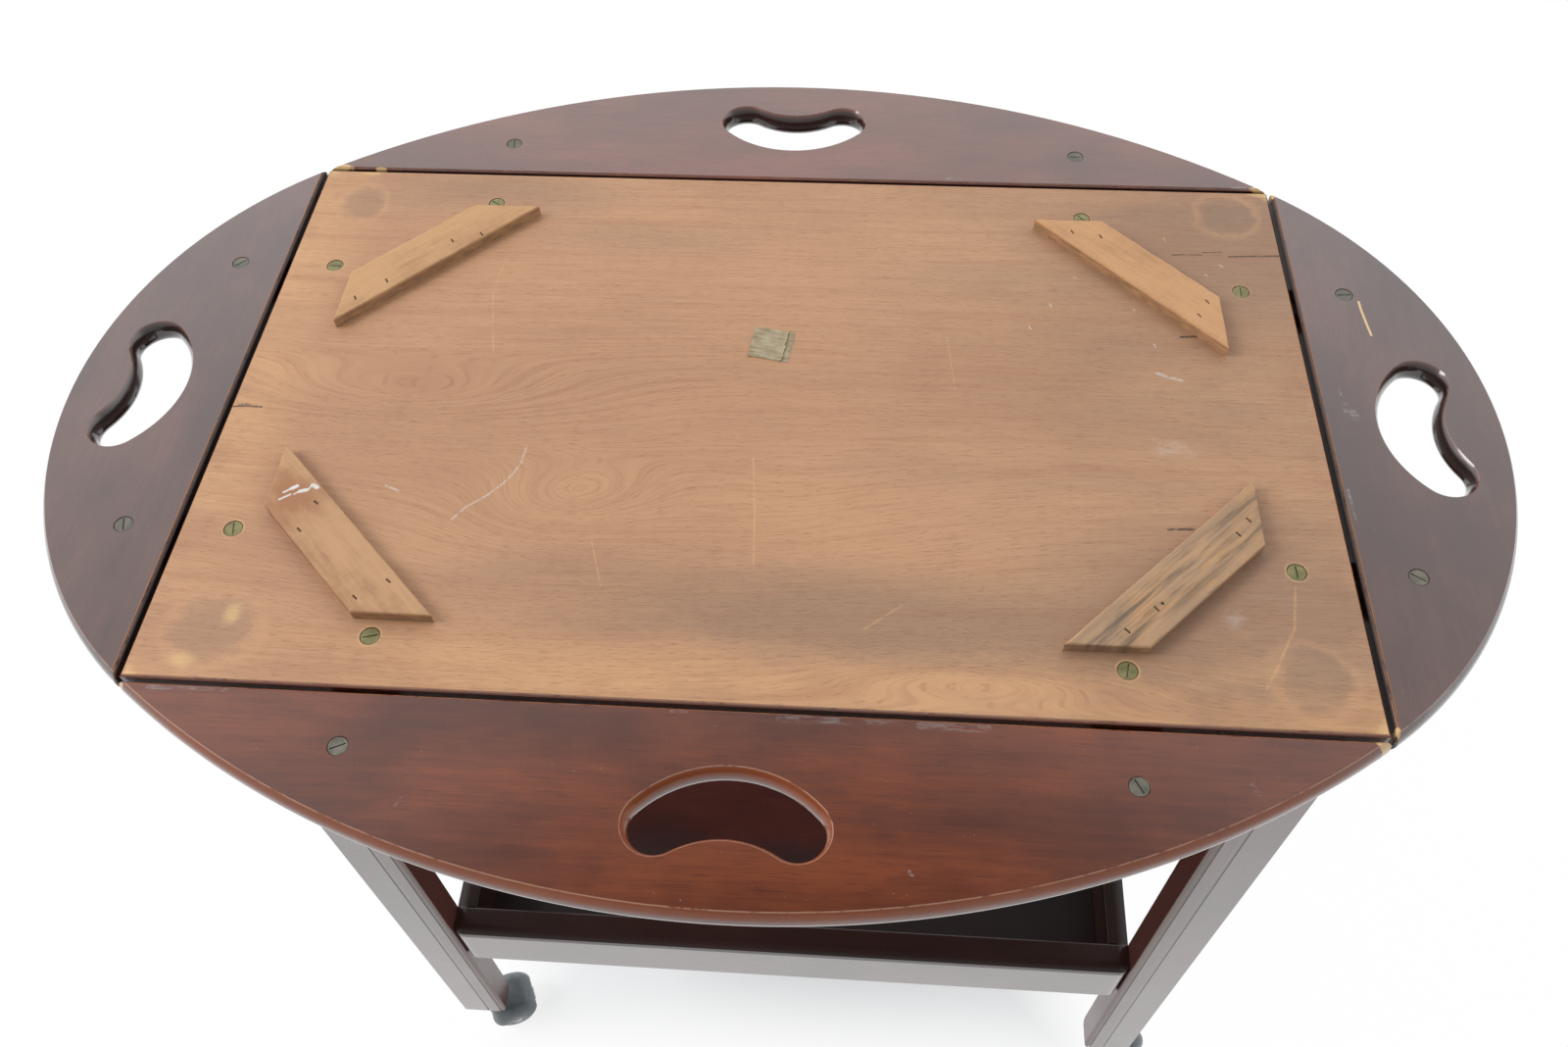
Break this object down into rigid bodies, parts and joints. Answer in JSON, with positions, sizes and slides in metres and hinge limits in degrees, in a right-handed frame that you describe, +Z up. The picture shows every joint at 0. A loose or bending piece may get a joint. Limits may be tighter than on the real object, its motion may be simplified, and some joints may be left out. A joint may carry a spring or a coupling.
{
  "type": "serving trolley",
  "caption": "Wooden serving trolley: a stand on castors with a deep low shelf carries a loose oval butler's tray, lying upside down, whose hinged flaps have hand holes.",
  "frame": {"origin": "on the floor, under the centre of the oval tray as it lies in the picture", "axes": "+X along the trolley to the right as seen from the front, +Y from the front to the back, +Z up"},
  "size_m": [0.9438, 0.6822, 0.751],
  "materials": {
    "raw_wood": "bare planed board, unfinished and stained by use",
    "cleat_wood": "bare sawn softwood, soiled",
    "mahogany": "dark red-brown stain under satin lacquer",
    "dark_mahogany": "very dark red-brown stain under gloss lacquer",
    "joinery_wood": "bare hardwood",
    "aged_brass": "dull greenish aged brass plate",
    "steel": "plain bright steel",
    "castor_plastic": "dark grey moulded plastic, slightly glossy"
  },
  "bodies": {
    "stand": {"leg_front_left": "mahogany", "leg_front_right": "mahogany", "leg_back_left": "mahogany", "leg_back_right": "mahogany", "apron_front": "mahogany", "apron_back": "mahogany", "apron_left": "mahogany", "apron_right": "mahogany", "apron_dowels": "joinery_wood", "corner_blocks": "joinery_wood", "corner_block_screws": "steel", "shelf_rail_front": "mahogany", "shelf_rail_back": "mahogany", "shelf_rail_left": "mahogany", "shelf_rail_right": "mahogany", "shelf_floor": "dark_mahogany", "shelf_dowels": "joinery_wood", "castor_sockets": "steel"},
    "tray": {"tray_panel": "raw_wood", "cleat_front_left": "cleat_wood", "cleat_front_right": "cleat_wood", "cleat_back_left": "cleat_wood", "cleat_back_right": "cleat_wood", "hinge_leaves_panel": "aged_brass", "hinge_nuts_panel": "aged_brass", "hinge_pins": "steel", "hinge_springs": "steel"},
    "flap_front": {"flap_front": "mahogany", "hinge_leaves_front": "aged_brass", "hinge_nuts_front": "aged_brass"},
    "flap_back": {"flap_back": "mahogany", "hinge_leaves_back": "aged_brass", "hinge_nuts_back": "aged_brass"},
    "flap_left": {"flap_left": "mahogany", "hinge_leaves_left": "aged_brass", "hinge_nuts_left": "aged_brass"},
    "flap_right": {"flap_right": "mahogany", "hinge_leaves_right": "aged_brass", "hinge_nuts_right": "aged_brass"},
    "castor_front_left": {"castor_stem_front_left": "steel", "castor_hood_front_left": "castor_plastic"},
    "castor_wheels_front_left": {"castor_axle_front_left": "steel", "castor_wheels_front_left": "castor_plastic"},
    "castor_front_right": {"castor_stem_front_right": "steel", "castor_hood_front_right": "castor_plastic"},
    "castor_wheels_front_right": {"castor_axle_front_right": "steel", "castor_wheels_front_right": "castor_plastic"},
    "castor_back_left": {"castor_stem_back_left": "steel", "castor_hood_back_left": "castor_plastic"},
    "castor_wheels_back_left": {"castor_axle_back_left": "steel", "castor_wheels_back_left": "castor_plastic"},
    "castor_back_right": {"castor_stem_back_right": "steel", "castor_hood_back_right": "castor_plastic"},
    "castor_wheels_back_right": {"castor_axle_back_right": "steel", "castor_wheels_back_right": "castor_plastic"}
  },
  "joints": [
    {"name": "tray_lift", "type": "slide", "parent": "stand", "child": "tray", "axis": [0, 0, 1], "range_m": [0, 0.3]},
    {"name": "flap_front_hinge", "type": "hinge", "parent": "tray", "child": "flap_front", "pos_m": [0, -0.2235, 0.725], "axis": [1, 0, 0], "range_deg": [0, 90]},
    {"name": "flap_back_hinge", "type": "hinge", "parent": "tray", "child": "flap_back", "pos_m": [0, 0.2235, 0.725], "axis": [-1, 0, 0], "range_deg": [0, 90]},
    {"name": "flap_left_hinge", "type": "hinge", "parent": "tray", "child": "flap_left", "pos_m": [-0.3565, 0, 0.725], "axis": [0, -1, 0], "range_deg": [0, 90]},
    {"name": "flap_right_hinge", "type": "hinge", "parent": "tray", "child": "flap_right", "pos_m": [0.3565, 0, 0.725], "axis": [0, 1, 0], "range_deg": [0, 90]},
    {"name": "castor_front_left_swivel", "type": "hinge", "parent": "stand", "child": "castor_front_left", "pos_m": [-0.29, -0.20425, 0.052], "axis": [0, 0, 1], "continuous": true},
    {"name": "castor_front_left_roll", "type": "hinge", "parent": "castor_front_left", "child": "castor_wheels_front_left", "pos_m": [-0.27278, -0.19622, 0.021], "axis": [-0.4226, 0.9063, 0], "continuous": true},
    {"name": "castor_front_right_swivel", "type": "hinge", "parent": "stand", "child": "castor_front_right", "pos_m": [0.324, -0.20425, 0.052], "axis": [0, 0, 1], "continuous": true},
    {"name": "castor_front_right_roll", "type": "hinge", "parent": "castor_front_right", "child": "castor_wheels_front_right", "pos_m": [0.34011, -0.19418, 0.021], "axis": [-0.5299, 0.848, 0], "continuous": true},
    {"name": "castor_back_left_swivel", "type": "hinge", "parent": "stand", "child": "castor_back_left", "pos_m": [-0.29, 0.17625, 0.052], "axis": [0, 0, 1], "continuous": true},
    {"name": "castor_back_left_roll", "type": "hinge", "parent": "castor_back_left", "child": "castor_wheels_back_left", "pos_m": [-0.27215, 0.18275, 0.021], "axis": [-0.342, 0.9397, 0], "continuous": true},
    {"name": "castor_back_right_swivel", "type": "hinge", "parent": "stand", "child": "castor_back_right", "pos_m": [0.324, 0.17625, 0.052], "axis": [0, 0, 1], "continuous": true},
    {"name": "castor_back_right_roll", "type": "hinge", "parent": "castor_back_right", "child": "castor_wheels_back_right", "pos_m": [0.34078, 0.18517, 0.021], "axis": [-0.4695, 0.8829, 0], "continuous": true}
  ]
}
